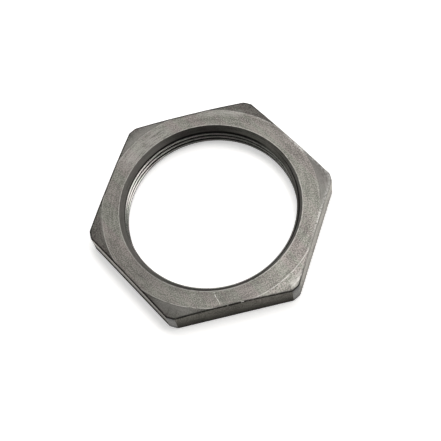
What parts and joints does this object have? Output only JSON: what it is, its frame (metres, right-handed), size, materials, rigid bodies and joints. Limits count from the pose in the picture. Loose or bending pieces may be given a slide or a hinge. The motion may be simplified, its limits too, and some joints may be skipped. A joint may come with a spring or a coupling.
{
  "type": "hub nut",
  "caption": "Thin hexagon nut with a large fine-threaded bore, countersunk from both faces, and a shallow turned chamfer on its outer face.",
  "frame": {"origin": "centre of the bore in the bearing face", "axes": "+Z along the bore from the bearing face to the chamfered face, +X through a corner of the hexagon, +Y through the middle of a flat"},
  "size_m": [0.0624, 0.055, 0.007],
  "materials": {
    "steel": "dark phosphated steel, dull, faintly mottled, with fine turning marks and a few bright rubs"
  },
  "bodies": {
    "root": {"hub_nut": "steel"}
  },
  "joints": []
}
